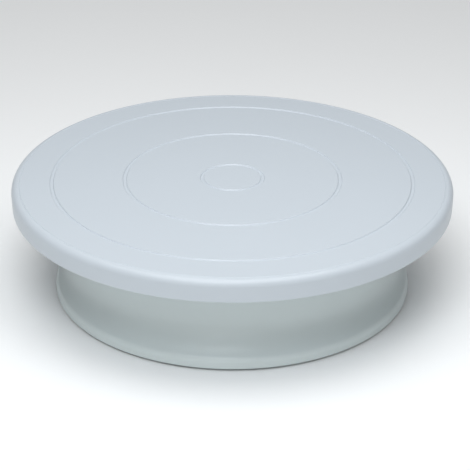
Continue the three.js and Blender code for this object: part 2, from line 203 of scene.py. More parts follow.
def section(corners, closed=True):
    """The filleted outline of (r, z, fillet) corners. An open one keeps its first and last corners sharp."""
    points = np.array([c[:2] for c in corners], float)
    radii = [c[2] if len(c) > 2 else 0 for c in corners]
    count = len(points)
    rows = []
    for i, radius in enumerate(radii):
        end = not closed and i in (0, count - 1)
        after = points[(i + 1) % count]
        rows.append(points[i][None] if end else fillet(points[i - 1], points[i], after, radius))
    return np.concatenate(rows)


def flat_ring(low, high, bore, edge):
    """The closed section of a flat ring with rounded edges, from its box's corners and its bore."""
    outer, low_z, high_z = high[0], low[2], high[2]
    return section([(bore, low_z, edge), (outer, low_z, edge), (outer, high_z, edge), (bore, high_z, edge)])


def plug(radius, low, high, low_edge, high_edge):
    """The open section of a solid disc, with a fillet for each of its two edges."""
    corners = [(0, low, 0), (radius, low, low_edge), (radius, high, high_edge), (0, high, 0)]
    return section(corners, closed=False)


def arc(centre, radius, start, end, steps):
    """Points (r, z) along an arc about a centre between two angles in degrees, without fillets."""
    angles = np.radians(np.linspace(start, end, steps + 1))
    return [(centre[0] + radius * math.cos(a), centre[1] + radius * math.sin(a), 0) for a in angles]


# ---- Meshes ----


def rings(outline, angles):
    """The surface x = r cos(angle), y = r sin(angle), z, for each row of an outline and each angle."""
    r, z = outline[:, 0, None], outline[:, 1, None]
    angles = np.broadcast_to(angles, (len(outline), angles.shape[-1]))
    return np.stack([r * np.cos(angles), r * np.sin(angles), z + 0 * angles], axis=-1)


def around(columns):
    """Equal angles all the way round."""
    return np.linspace(0, 2 * math.pi, columns, endpoint=False)


def grid_faces(rows, columns, close_rows):
    """Quads joining each point of a grid to its neighbours. Columns always close on themselves."""
    index = np.arange(rows * columns).reshape(rows, columns)
    if close_rows:
        index = np.vstack([index, index[:1]])
    right = np.roll(index, -1, axis=1)
    quads = [index[:-1], right[:-1], right[1:], index[1:]]
    return np.stack(quads, axis=-1).reshape(-1, 4)


def mesh_from(name, shells):
    """One mesh in metres from grids of points in millimetres, each given as (grid, whether its rows close).

    Points that meet, such as a pole's, are merged, and the faces are turned outward.
    """
    points, quads, offset = [], [], 0
    for grid, close_rows in shells:
        rows, columns = grid.shape[:2]
        points.append(grid.reshape(-1, 3))
        quads.append(grid_faces(rows, columns, close_rows) + offset)
        offset += rows * columns
    points, quads = np.concatenate(points) * MM, np.concatenate(quads)
    mesh = bpy.data.meshes.new(name)
    mesh.from_pydata(points.tolist(), [], quads.tolist())
    fine = bmesh.new()
    fine.from_mesh(mesh)
    bmesh.ops.remove_doubles(fine, verts=fine.verts, dist=1e-7)
    bmesh.ops.dissolve_degenerate(fine, edges=fine.edges, dist=1e-7)
    bmesh.ops.recalc_face_normals(fine, faces=fine.faces)
    fine.to_mesh(mesh)
    fine.free()
    mesh.shade_smooth()
    mesh.set_sharp_from_angle(angle=math.radians(SHARP_DEGREES))
    return mesh


def object_from(name, mesh):
    """An object for a mesh, linked into the scene."""
    made = bpy.data.objects.new(name, mesh)
    bpy.context.scene.collection.objects.link(made)
    return made


def close_slivers(mesh):
    """Merges the points of slivers, makes all faces triangles, and drops pairs folded flat on each other."""
    fine = bmesh.new()
    fine.from_mesh(mesh)
    bmesh.ops.remove_doubles(fine, verts=fine.verts, dist=SLIVER * MM)
    bmesh.ops.dissolve_degenerate(fine, edges=fine.edges, dist=SLIVER * MM)
    bmesh.ops.triangulate(fine, faces=fine.faces)
    by_corners = {}
    for face in fine.faces:
        by_corners.setdefault(frozenset(face.verts), []).append(face)
    folded = [face for same in by_corners.values() if len(same) > 1 for face in same]
    bmesh.ops.delete(fine, geom=folded, context="FACES")
    fine.to_mesh(mesh)
    fine.free()


def cut(target, tool, operation):
    """Joins a closed mesh to another or takes it away, and keeps the result as the target's own mesh."""
    modifier = target.modifiers.new("Cut", "BOOLEAN")
    modifier.operation = operation
    modifier.solver = "EXACT"
    modifier.object = tool
    bpy.context.view_layer.update()
    evaluated = target.evaluated_get(bpy.context.evaluated_depsgraph_get())
    result = bpy.data.meshes.new_from_object(evaluated)
    close_slivers(result)
    target.modifiers.remove(modifier)
    old = target.data
    target.data = result
    result.name = target.name
    bpy.data.meshes.remove(old)
    tool_mesh = tool.data
    bpy.data.objects.remove(tool)
    bpy.data.meshes.remove(tool_mesh)
    result.shade_smooth()
    result.set_sharp_from_angle(angle=math.radians(SHARP_DEGREES))


def finish_piece(made, material, body, slot, *nodes):
    """Gives a piece its material, and puts it on its body in place of its CAD nodes."""
    made.data.materials.clear()
    made.data.materials.append(material)
    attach(made, body)
    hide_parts(*nodes)
    return made


def box_mm(node):
    """A CAD node's lowest and highest corners in millimetres."""
    low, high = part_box(node)
    return np.array(low) / MM, np.array(high) / MM


def numbered(prefix):
    """The CAD nodes whose names are a prefix and a number, in order."""
    return sorted(n for n in frame["nodes"] if n.startswith(prefix + "_") and n[-2:].isdigit())


def body_of(node):
    """The body that a CAD node rides on."""
    return next(b for b, nodes in frame["record"]["behaviour"]["bodies"].items() if node in nodes)


# ---- Ribbed mouldings ----

RIB_STEP = 0.1  # mm along a radius in which a rib starts inside a boss
RIB_DEPTHS = (1, 1, 0.985, 0.94, 0.08, 0.02, 0)  # share of its depth, in steps from its middle to its side
PLATE_RIB_SIDES = (0, 0.6, 0.8, 0.88, 0.95, 1.1, 1.4)  # mm from a rib's middle to each of those steps
PLATE_RIB_GAPS = 9  # columns between two ribs
PLATE_RIB_TURN = 0.5  # share of the sector between two ribs by which they are turned from +X
BASE_RIB_SIDES = (0, 0.7, 0.9, 0.98, 1.06, 1.25, 1.6)
BASE_RIB_GAPS = 20
BASE_RIB_TURN = 0


def rib_columns(count, lateral, depth, between, turned):
    """Columns for a moulding with radial ribs: (rib's angle, distance to its side, share of the gap, depth).

    Across a rib the columns keep their distance to the side, so its walls stay parallel, and between ribs
    they share out the angle that is left.
    """
    lateral, depth = np.array(lateral), np.array(depth)
    share = np.arange(1, between + 1) / (between + 1)
    side = np.concatenate([-lateral[::-1], lateral[1:], np.full(between, lateral[-1])])
    gap = np.concatenate([np.zeros(2 * len(lateral) - 1), share])
    deep = np.concatenate([depth[::-1], depth[1:], np.zeros(between)])
    rib = (np.arange(count) + turned) * 2 * math.pi / count
    return tuple(
        a.reshape(-1)
        for a in (
            np.repeat(rib[:, None], len(side), 1),
            np.tile(side, (count, 1)),
            np.tile(gap, (count, 1)),
            np.tile(deep, (count, 1)),
        )
    )


def ribbed(outline, inner_rows, rib_line, columns, count, narrowest):
    """A body of revolution whose inner rows are pushed down to the ribs' lower edge.

    angle = rib + asin(side / r) + gap * (sector - 2 asin(side / r)), and the row is lowered by
    depth * max(0, z - rib_line(r)). Rows outside the ribs have evenly spaced columns.
    """
    rib, side, gap, deep = columns
    r, z = outline[:, 0, None], outline[:, 1, None]
    lean = np.arcsin(side / np.maximum(r, narrowest))
    along = rib + lean + gap * (2 * math.pi / count - 2 * lean)
    even = rib[0] + side[0] / narrowest + around(len(rib))
    inner = inner_rows[:, None]
    angles = np.where(inner, along, even)
    drop = np.maximum(0, z - np.interp(outline[:, 0], *rib_line)[:, None]) * deep
    z = np.where(inner, z - drop, z)
    return np.stack([r * np.cos(angles), r * np.sin(angles), z + 0 * angles], axis=-1)


# ---- Node helper ----


def node(tree, kind, settings=None, links=None):
    """Adds a shader node, sets its properties and inputs, and joins its inputs to other nodes' sockets."""
    made = tree.nodes.new(kind)
    for key, value in (settings or {}).items():
        if hasattr(made, key):
            setattr(made, key, value)
        else:
            made.inputs[key].default_value = value
    for key, socket in (links or {}).items():
        tree.links.new(socket, made.inputs[key])
    return made


def new_material(name):
    """An empty material with its node tree, its output and its Principled shader."""
    material = bpy.data.materials.new(name)
    material.use_nodes = True
    tree = material.node_tree
    tree.nodes.clear()
    shader = node(tree, "ShaderNodeBsdfPrincipled")
    node(tree, "ShaderNodeOutputMaterial", links={"Surface": shader.outputs["BSDF"]})
    place = node(tree, "ShaderNodeTexCoord").outputs["Object"]
    return material, tree, shader, place


def per_mm(size):
    """The scale that gives a pattern on Object coordinates one repeat in a size in millimetres."""
    return 1 / (size * MM)


def per_ring(size):
    """The scale that gives a Wave texture, whose rings lie 2 pi / 20 apart, one ring in a size in mm."""
    return per_mm(size) * 2 * math.pi / 20


def tint(rgb, factor):
    """A colour made lighter or darker, as RGBA."""
    return (*(min(1, c * factor) for c in rgb), 1)


# ---- Finishes ----


def moulded_plastic(name, rgb, roughness, grain_mm, grain_depth):
    """Injection-moulded polypropylene: an even colour with a faint milky flow in it, and a fine satin grain.

    The eye sees a soft, wide highlight along rounded edges, slightly broken up by the grain of the
    spark-eroded mould, and a colour that drifts by a percent or two where the plastic cooled.
    """
    material, tree, shader, place = new_material(name)
    flow = node(
        tree, "ShaderNodeTexNoise", {"Scale": per_mm(90), "Detail": 3, "Roughness": 0.55}, {"Vector": place}
    )
    cloud = node(
        tree,
        "ShaderNodeMix",
        {"data_type": "RGBA", "A": tint(rgb, 0.985), "B": tint(rgb, 1.015)},
        {"Factor": flow.outputs["Fac"]},
    )
    grain = node(
        tree,
        "ShaderNodeTexNoise",
        {"Scale": per_mm(grain_mm), "Detail": 4, "Roughness": 0.6},
        {"Vector": place},
    )
    handling = node(
        tree, "ShaderNodeTexNoise", {"Scale": per_mm(26), "Detail": 5, "Roughness": 0.65}, {"Vector": place}
    )
    gloss = node(
        tree,
        "ShaderNodeMapRange",
        {"To Min": roughness - 0.04, "To Max": roughness + 0.05},
        {"Value": handling.outputs["Fac"]},
    )
    bump = node(
        tree,
        "ShaderNodeBump",
        {"Strength": 0.5, "Distance": grain_depth * MM},
        {"Height": grain.outputs["Fac"]},
    )
    tree.links.new(cloud.outputs["Result"], shader.inputs["Base Color"])
    tree.links.new(gloss.outputs["Result"], shader.inputs["Roughness"])
    tree.links.new(bump.outputs["Normal"], shader.inputs["Normal"])
    shader.inputs["IOR"].default_value = 1.49
    return material


def waxy_plastic(name, rgb):
    """Turned and moulded acetal or nylon: a waxy, yellowish white with faint tool marks round the axis."""
    material, tree, shader, place = new_material(name)
    cloud = node(tree, "ShaderNodeTexNoise", {"Scale": per_mm(14), "Detail": 4}, {"Vector": place})
    shade = node(
        tree,
        "ShaderNodeMix",
        {"data_type": "RGBA", "A": tint(rgb, 0.95), "B": tint(rgb, 1.03)},
        {"Factor": cloud.outputs["Fac"]},
    )
    marks = node(
        tree,
        "ShaderNodeTexWave",
        {"wave_type": "RINGS", "rings_direction": "Z", "Scale": per_ring(0.6), "Distortion": 0.4},
        {"Vector": place},
    )
    bump = node(
        tree, "ShaderNodeBump", {"Strength": 0.3, "Distance": 0.02 * MM}, {"Height": marks.outputs["Fac"]}
    )
    tree.links.new(shade.outputs["Result"], shader.inputs["Base Color"])
    tree.links.new(bump.outputs["Normal"], shader.inputs["Normal"])
    shader.inputs["Roughness"].default_value = 0.42
    shader.inputs["IOR"].default_value = 1.48
    return material


def turned_steel(name, rgb, roughness, mark_mm):
    """Rolled or turned steel: fine rings round the axis, which stretch highlights, and a few dull patches."""
    material, tree, shader, place = new_material(name)
    marks = node(
        tree,
        "ShaderNodeTexWave",
        {
            "wave_type": "RINGS",
            "rings_direction": "Z",
            "Scale": per_ring(mark_mm),
            "Distortion": 0.6,
            "Detail": 2,
        },
        {"Vector": place},
    )
    patches = node(
        tree, "ShaderNodeTexNoise", {"Scale": per_mm(9), "Detail": 5, "Roughness": 0.6}, {"Vector": place}
    )
    shade = node(
        tree,
        "ShaderNodeMix",
        {"data_type": "RGBA", "A": tint(rgb, 0.86), "B": tint(rgb, 1.08)},
        {"Factor": patches.outputs["Fac"]},
    )
    dull = node(
        tree,
        "ShaderNodeMapRange",
        {"To Min": roughness - 0.06, "To Max": roughness + 0.1},
        {"Value": patches.outputs["Fac"]},
    )
    bump = node(
        tree, "ShaderNodeBump", {"Strength": 0.25, "Distance": 0.01 * MM}, {"Height": marks.outputs["Fac"]}
    )
    tree.links.new(shade.outputs["Result"], shader.inputs["Base Color"])
    tree.links.new(dull.outputs["Result"], shader.inputs["Roughness"])
    tree.links.new(bump.outputs["Normal"], shader.inputs["Normal"])
    shader.inputs["Metallic"].default_value = 1
    return material


def polished_ball(name, rgb):
    """Lapped bearing steel: a near mirror with a thin oil film, which leaves faint smears in the gloss."""
    material, tree, shader, place = new_material(name)
    film = node(tree, "ShaderNodeTexNoise", {"Scale": per_mm(2.4), "Detail": 3}, {"Vector": place})
    gloss = node(tree, "ShaderNodeMapRange", {"To Min": 0.06, "To Max": 0.2}, {"Value": film.outputs["Fac"]})
    shade = node(
        tree,
        "ShaderNodeMix",
        {"data_type": "RGBA", "A": tint(rgb, 0.93), "B": tint(rgb, 1.04)},
        {"Factor": film.outputs["Fac"]},
    )
    tree.links.new(shade.outputs["Result"], shader.inputs["Base Color"])
    tree.links.new(gloss.outputs["Result"], shader.inputs["Roughness"])
    shader.inputs["Metallic"].default_value = 1
    return material


def moulded_rubber(name, rgb):
    """Moulded grey rubber: matt, with a bloom that lightens it in patches and a fine pebbled grip."""
    material, tree, shader, place = new_material(name)
    bloom = node(
        tree, "ShaderNodeTexNoise", {"Scale": per_mm(5), "Detail": 5, "Roughness": 0.65}, {"Vector": place}
    )
    shade = node(
        tree,
        "ShaderNodeMix",
        {"data_type": "RGBA", "A": tint(rgb, 0.85), "B": tint(rgb, 1.15)},
        {"Factor": bloom.outputs["Fac"]},
    )
    pebbles = node(tree, "ShaderNodeTexVoronoi", {"Scale": per_mm(0.45)}, {"Vector": place})
    bump = node(
        tree,
        "ShaderNodeBump",
        {"Strength": 0.5, "Distance": 0.05 * MM},
        {"Height": pebbles.outputs["Distance"]},
    )
    tree.links.new(shade.outputs["Result"], shader.inputs["Base Color"])
    tree.links.new(bump.outputs["Normal"], shader.inputs["Normal"])
    shader.inputs["Roughness"].default_value = 0.82
    shader.inputs["IOR"].default_value = 1.52
    return material


def painted_floor(name, rgb):
    """A smooth studio floor, matt and pale, with a very faint unevenness."""
    material, tree, shader, place = new_material(name)
    cloud = node(tree, "ShaderNodeTexNoise", {"Scale": per_mm(400), "Detail": 2}, {"Vector": place})
    shade = node(
        tree,
        "ShaderNodeMix",
        {"data_type": "RGBA", "A": tint(rgb, 0.995), "B": tint(rgb, 1.0)},
        {"Factor": cloud.outputs["Fac"]},
    )
    tree.links.new(shade.outputs["Result"], shader.inputs["Base Color"])
    shader.inputs["Roughness"].default_value = 0.9
    shader.inputs["Specular IOR Level"].default_value = 0.1
    return material


def finish_named(name, make, *details):
    """The material of a name, made the first time it is asked for."""
    return bpy.data.materials.get(name) or make(name, *details)


def race_steel():
    """Cold-rolled strip, for both races."""
    steel = tuple(bpy.context.scene.turntable_bearing.steel)
    return finish_named("cold_rolled_steel", turned_steel, steel, 0.3, 0.35)


def zinc_steel():
    """Zinc-plated turned steel, for the spindle, washer and screw."""
    zinc = tuple(bpy.context.scene.turntable_fixing.zinc)
    return finish_named("zinc_plated_steel", turned_steel, zinc, 0.36, 0.5)


def natural_nylon():
    """Natural nylon and acetal, for the cage, bush and slip washer."""
    nylon = tuple(bpy.context.scene.turntable_bearing.nylon)
    return finish_named("natural_nylon", waxy_plastic, nylon)


# ---- Plate ----

SHOULDER_STEPS = 16
GUIDE_RADII = (19.2, 68.4, 114.5)
GUIDE_FLOOR_SHARE = 0.57  # of a guide's width at its mouth
CREASE_R = 135  # fine line cut just inside the shoulder
CREASE_HALF = 0.35
CREASE_DEPTH = 0.25
SKIRT_DRAFT = 0.3  # how far the skirt leans in at its lower edge
PLATE_RIB_COUNT = 12
PLATE_RIB_Z = 64.5  # lower edge of the plate's ribs
RIM_RIB = (106.1, 107.9)  # inner and outer sides of the outermost ring rib
RIM_RIB_MIDDLE_R = 107
RIM_RIB_FADE = 1.5  # the radial ribs rise to nothing this far outside the middle of the rim rib
PLATE_BOSS_R = 12
BOSS_FLARE = 1  # the boss is this much wider where it joins the top
PLATE_BOSS_Z = 63.7
BOSS_MIDDLE_R = 8  # the ribs end here, inside the boss
PLATE_BORE_TOP_Z = 71.2
SPINDLE_BORE_R = 4.1
RACE_SEAT = (50.7, 63.6)  # inner and outer sides of the seat for a race, in the plate and in the base
LAND = (49.5, 64.8)  # inner and outer sides of the lips round the plate's seat
LAND_LIP_DEPTH = 0.8
RACE_REST = 0.1  # between the upper race and the plate above it
NOTCH_INNER = (48.4, 48.6)  # the ribs step up here to clear the ball race
NOTCH_OUTER = (65.7, 65.9)  # and down again here
NOTCH_RISE = 0.7  # from the upper race to the ribs in the notch


def guide_corners(r, top, width, depth):
    """The corners of one guide ring, from its inner edge to its outer edge."""
    floor = width * GUIDE_FLOOR_SHARE
    return [
        (r - width / 2, top, 0.3),
        (r - floor / 2, top - depth, 0.45),
        (r + floor / 2, top - depth, 0.45),
        (r + width / 2, top, 0.3),
    ]


def plate_top(radius, top, settings):
    """The plate's upper outline from the axis to the top of the skirt."""
    width, depth = settings.guide_width / MM, settings.guide_depth / MM
    shoulder = settings.shoulder / MM
    corners = [(0, top, 0)]
    for r in GUIDE_RADII:
        corners += guide_corners(r, top, width, depth)
    crease = [
        (CREASE_R - CREASE_HALF, top, 0.1),
        (CREASE_R, top - CREASE_DEPTH, 0.08),
        (CREASE_R + CREASE_HALF, top, 0.1),
    ]
    rounding = arc((radius - shoulder, top - shoulder), shoulder, 90, 0, SHOULDER_STEPS)
    return corners + crease + rounding


def plate_under(radius, skirt_z, top, settings):
    """The plate's lower outline in two parts: the skirt, then from the flat inside it to the end of the bore.

    Corners without a fillet on a flat face split it into rings, which let the ribs bend and keep faces short.
    """
    under = top - settings.wall / MM
    skirt_r = radius - SKIRT_DRAFT
    inner = skirt_r - settings.skirt_wall / MM
    land_z = box_mm("upper_race")[1][2] + RACE_REST
    lip_z = land_z - LAND_LIP_DEPTH
    outside = [(skirt_r, skirt_z, 0.6), (inner, skirt_z, 0.5), (inner, under, 1.2)]
    inside = [
        (120, under, 0),
        (RIM_RIB[1], under, 0.6),
        (RIM_RIB[1], PLATE_RIB_Z, 0.4),
        (RIM_RIB[0], PLATE_RIB_Z, 0.4),
        (RIM_RIB[0], under, 0.6),
        (90, under, 0),
        (67, under, 0),
        (NOTCH_OUTER[1], under, 0),
        (NOTCH_OUTER[0], under, 0),
        (LAND[1], under, 0.3),
        (LAND[1], lip_z, 0.15),
        (RACE_SEAT[1], lip_z, 0.15),
        (RACE_SEAT[1], land_z, 0.1),
        (RACE_SEAT[0], land_z, 0.1),
        (RACE_SEAT[0], lip_z, 0.15),
        (LAND[0], lip_z, 0.15),
        (LAND[0], under, 0.3),
        (NOTCH_INNER[1], under, 0),
        (NOTCH_INNER[0], under, 0),
        (30, under, 0),
        (PLATE_BOSS_R + BOSS_FLARE, under, 0.8),
        (PLATE_BOSS_R, PLATE_BOSS_Z, 0.5),
        (SPINDLE_BORE_R, PLATE_BOSS_Z, 0.4),
        (SPINDLE_BORE_R, PLATE_BORE_TOP_Z, 0.3),
        (0, PLATE_BORE_TOP_Z, 0),
    ]
    return outside, inside


class TURNTABLE_OT_plate(bpy.types.Operator):
    """Build the plate: guide rings, crease, shoulder and skirt, and the ribs, land and boss underneath"""

    bl_idname = "turntable.plate"
    bl_label = "Plate"

    def execute(self, context):
        settings = context.scene.turntable_plate
        low, high = box_mm("turntable_plate")
        radius, top, skirt_z = high[0], high[2], low[2]
        upper = plate_top(radius, top, settings)
        outside, inside = plate_under(radius, skirt_z, top, settings)
        outline = section(upper + outside + inside, closed=False)
        first_inner = len(section(upper + outside + inside[:1], closed=False))
        inner_rows = np.arange(len(outline)) >= first_inner
        notch_z = box_mm("upper_race")[1][2] + NOTCH_RISE
        rim_r, fade_r = RIM_RIB_MIDDLE_R, RIM_RIB_MIDDLE_R + RIM_RIB_FADE
        rib_line = (
            [BOSS_MIDDLE_R, BOSS_MIDDLE_R + RIB_STEP, *NOTCH_INNER, *NOTCH_OUTER, rim_r, fade_r],
            [top, PLATE_RIB_Z, PLATE_RIB_Z, notch_z, notch_z, PLATE_RIB_Z, PLATE_RIB_Z, top],
        )
        columns = rib_columns(PLATE_RIB_COUNT, PLATE_RIB_SIDES, RIB_DEPTHS, PLATE_RIB_GAPS, PLATE_RIB_TURN)
        grid = ribbed(outline, inner_rows, rib_line, columns, PLATE_RIB_COUNT, PLATE_BOSS_R)
        made = object_from("plate", mesh_from("plate", [(grid, False)]))
        material = moulded_plastic(
            "moulded_polypropylene_plate",
            tuple(settings.colour),
            roughness=0.36,
            grain_mm=0.9,
            grain_depth=0.02,
        )
        finish_piece(made, material, "turntable", "plate_plastic", "turntable_plate")
        return {"FINISHED"}


# ---- Base ----

COVE_TOP = (103.1, 27)  # (r, z) where the cove runs into the neck
NECK_TOP_R = 101.8
BAND_EDGE_STEPS = 10
COVE_STEPS = 24
DECK_EDGE_STEPS = 12
SEAT_DEPTH = 0.8
HUB_R = 11.5
HUB_FLARE = 0.6  # the hub is this much wider where it joins the deck
HUB_Z = 50
HUB_BORE_R = 6.7
HUB_COUNTERBORE = (9.8, 60.9)  # radius and floor
RACE_RIB = (55.95, 58.35)  # inner and outer sides of the ring rib under the ball race
RACE_RIB_Z = 54
BASE_RIB_COUNT = 6
HUB_MIDDLE_R = 9  # the ribs end here, inside the hub
BASE_RIB_LINE = (  # r and z of the ribs' lower edge
    [HUB_MIDDLE_R, HUB_MIDDLE_R + RIB_STEP, 48, 86, 97, 99, 130],
    [60, HUB_Z, HUB_Z, 40, 20, 5, 5],
)
PAD_BOSS = (8.9, 1.6, 7)  # radius, lower and upper ends
PAD_RECESS = (7.3, 0, 2.8)
WALL_CLEAR = 0.05  # mm: rows this near the foot band's inner face have no ribs


def cove_circle(foot_r, band_top, edge):
    """The cove's circle, upright at the neck and touching the foot band's edge: (centre r, radius, sweep).

    With a = edge centre to neck and h = neck to band, its radius is (a^2 + h^2 - edge^2) / (2 (a + edge)).
    """
    across, rise = foot_r - edge - COVE_TOP[0], COVE_TOP[1] - band_top
    radius = (across**2 + rise**2 - edge**2) / (2 * (across + edge))
    return COVE_TOP[0] + radius, radius, math.degrees(math.atan2(rise, radius - across))


def base_wall(cove, inset, deck_z, deck_edge):
    """The wall above the foot band, set in by a distance: cove, neck and the rounding up to the deck."""
    centre_r, radius, sweep = cove
    rim = (NECK_TOP_R - deck_edge, deck_z - deck_edge)
    hollow = arc((centre_r, COVE_TOP[1]), radius + inset, 180 + sweep, 180, COVE_STEPS)
    return hollow + arc(rim, deck_edge - inset, 0, 90, DECK_EDGE_STEPS)


class TURNTABLE_OT_base(bpy.types.Operator):
    """Build the base: foot band, coved neck, deck with the race's seat, hub, ribs and pad bosses"""

    bl_idname = "turntable.base"
    bl_label = "Base"

    def execute(self, context):
        settings = context.scene.turntable_base
        low, high = box_mm("base_shell")
        foot_r, bottom, deck_z = high[0], low[2], high[2]
        wall, edge = settings.wall / MM, settings.band_edge / MM
        band_top = bottom + settings.band_height / MM
        deck_edge = settings.deck_edge / MM
        deck_under = deck_z - wall
        cove = cove_circle(foot_r, band_top, edge)
        band_edge = arc((foot_r - edge, band_top), edge, 0, cove[2], BAND_EDGE_STEPS)
        outside = [(foot_r, bottom, 0.6), *band_edge[:-1], *base_wall(cove, 0, deck_z, deck_edge)]
        inner_wall = base_wall(cove, wall, deck_z, deck_edge)[::-1]
        band_inner = inner_wall[-1][0]
        deck = [
            (RACE_SEAT[1], deck_z, 0.15),
            (RACE_SEAT[1], deck_z - SEAT_DEPTH, 0.1),
            (RACE_SEAT[0], deck_z - SEAT_DEPTH, 0.1),
            (RACE_SEAT[0], deck_z, 0.15),
            (HUB_COUNTERBORE[0], deck_z, 0.2),
            (HUB_COUNTERBORE[0], HUB_COUNTERBORE[1], 0.1),
            (HUB_BORE_R, HUB_COUNTERBORE[1], 0.2),
        ]
        inside = [
            (HUB_BORE_R, HUB_Z, 0.2),
            (HUB_R, HUB_Z, 0.4),
            (HUB_R + HUB_FLARE, deck_under, 0.8),
            (30, deck_under, 0),
            (48, deck_under, 0),
            (RACE_RIB[0], deck_under, 0.5),
            (RACE_RIB[0], RACE_RIB_Z, 0.3),
            (RACE_RIB[1], RACE_RIB_Z, 0.3),
            (RACE_RIB[1], deck_under, 0.5),
            (70, deck_under, 0),
            (80, deck_under, 0),
            (86, deck_under, 0),
            (92, deck_under, 0),
            *inner_wall,
            (band_inner, bottom, 0.5),
        ]
        outline = section(outside + deck + inside)
        before_inside = len(section([*outside, *deck, inside[0]], closed=False)) - 1
        inner_rows = (np.arange(len(outline)) > before_inside) & (outline[:, 0] < band_inner - WALL_CLEAR)
        columns = rib_columns(BASE_RIB_COUNT, BASE_RIB_SIDES, RIB_DEPTHS, BASE_RIB_GAPS, BASE_RIB_TURN)
        grid = ribbed(outline, inner_rows, BASE_RIB_LINE, columns, BASE_RIB_COUNT, HUB_R)
        made = object_from("base", mesh_from("base", [(grid, True)]))
        boss = rings(plug(*PAD_BOSS, 0.4, 0), around(SMALL_COLUMNS))
        recess = rings(plug(*PAD_RECESS, 0, 0.3), around(SMALL_COLUMNS))
        bosses, recesses = [], []
        for pad in numbered("foot_pad"):
            pad_low, pad_high = box_mm(pad)
            centre = np.array([*(pad_low + pad_high)[:2] / 2, 0])
            bosses.append((boss + centre, False))
            recesses.append((recess + centre, False))
        cut(made, object_from("bosses", mesh_from("bosses", bosses)), "UNION")
        cut(made, object_from("recesses", mesh_from("recesses", recesses)), "DIFFERENCE")
        material = moulded_plastic(
            "moulded_polypropylene_base",
            tuple(settings.colour),
            roughness=0.34,
            grain_mm=1.1,
            grain_depth=0.015,
        )
        finish_piece(made, material, "base", "base_plastic", "base_shell")
        return {"FINISHED"}


# ---- Ball race ----

RACE_INNER_R = 51
BALL_CIRCLE_R = 57.15
TRACK_HALF = 1.9  # half the width of a race's track at its mouth, then at its floor
TRACK_FLOOR_HALF = 0.855
CAGE_INNER_R = 51.5
POCKET_CHAMFER = 0.3  # height of the chamfer round each pocket, which is as wide
TOOL_OVERRUN = 1  # mm that a cutting tool runs past the face it cuts
POCKET_COLUMNS = 48
BALL_COLUMNS = 48
BALL_ROWS = 25


def race_outline(face, back, outer, depth):
    """A pressed race ring: flat strip with rolled edges and a round-bottomed track in its face."""
    bottom = face + math.copysign(depth, back - face)
    return [
        (RACE_INNER_R, back, 0.25),
        (outer, back, 0.25),
        (outer, face, 0.25),
        (BALL_CIRCLE_R + TRACK_HALF, face, 0.3),
        (BALL_CIRCLE_R + TRACK_FLOOR_HALF, bottom, 0.8),
        (BALL_CIRCLE_R - TRACK_FLOOR_HALF, bottom, 0.8),
        (BALL_CIRCLE_R - TRACK_HALF, face, 0.3),
        (RACE_INNER_R, face, 0.25),
    ]


class TURNTABLE_OT_races(bpy.types.Operator):
    """Build the lower and upper races: rings of rolled strip with a track for the balls"""

    bl_idname = "turntable.races"
    bl_label = "Races"

    def execute(self, context):
        depth = context.scene.turntable_bearing.track_depth / MM
        for race_node, track_up in (("lower_race", True), ("upper_race", False)):
            low, high = box_mm(race_node)
            face, back = (high[2], low[2]) if track_up else (low[2], high[2])
            grid = rings(section(race_outline(face, back, high[0], depth)), around(RACE_COLUMNS))
            made = object_from(race_node + "_ring", mesh_from(race_node + "_ring", [(grid, True)]))
            finish_piece(made, race_steel(), body_of(race_node), "race_steel", race_node)
        return {"FINISHED"}


class TURNTABLE_OT_cage(bpy.types.Operator):
    """Build the cage: a moulded ring with a chamfered pocket for each ball"""

    bl_idname = "turntable.cage"
    bl_label = "Cage"

    def execute(self, context):
        low, high = box_mm("ball_cage")
        pocket = context.scene.turntable_bearing.pocket / MM
        ring = rings(flat_ring(low, high, CAGE_INNER_R, 0.5), around(RACE_COLUMNS))
        made = object_from("cage", mesh_from("cage", [(ring, True)]))
        wide = pocket + POCKET_CHAMFER + TOOL_OVERRUN
        flare = [
            (0, low[2] - TOOL_OVERRUN),
            (wide, low[2] - TOOL_OVERRUN),
            (pocket, low[2] + POCKET_CHAMFER),
            (pocket, high[2] - POCKET_CHAMFER),
            (wide, high[2] + TOOL_OVERRUN),
            (0, high[2] + TOOL_OVERRUN),
        ]
        tools = []
        for ball in numbered("bearing_ball"):
            ball_low, ball_high = box_mm(ball)
            angle = math.atan2(*((ball_low + ball_high)[1::-1]))
            centre = np.array([BALL_CIRCLE_R * math.cos(angle), BALL_CIRCLE_R * math.sin(angle), 0])
            tools.append((rings(section(flare, closed=False), around(POCKET_COLUMNS)) + centre, False))
        cut(made, object_from("pockets", mesh_from("pockets", tools)), "DIFFERENCE")
        finish_piece(made, natural_nylon(), "cage", "bearing_plastic", "ball_cage")
        return {"FINISHED"}


class TURNTABLE_OT_balls(bpy.types.Operator):
    """Build the balls: each the surface r = R sin(t), z = -R cos(t) turned about its own upright axis"""

    bl_idname = "turntable.balls"
    bl_label = "Balls"

    def execute(self, context):
        ball_colour = tuple(context.scene.turntable_bearing.ball)
        material = finish_named("lapped_bearing_steel", polished_ball, ball_colour)
        for ball in numbered("bearing_ball"):
            low, high = box_mm(ball)
            centre, radius = (low + high) / 2, (high - low).max() / 2
            t = np.linspace(0, math.pi, BALL_ROWS)
            outline = np.stack([radius * np.sin(t), -radius * np.cos(t)], axis=-1)
            grid = rings(outline, around(BALL_COLUMNS)) + centre
            made = object_from(ball.replace("bearing_", "polished_"), mesh_from(ball, [(grid, False)]))
            finish_piece(made, material, body_of(ball), "ball_steel", ball)
        return {"FINISHED"}


# ---- Spindle and fixings ----

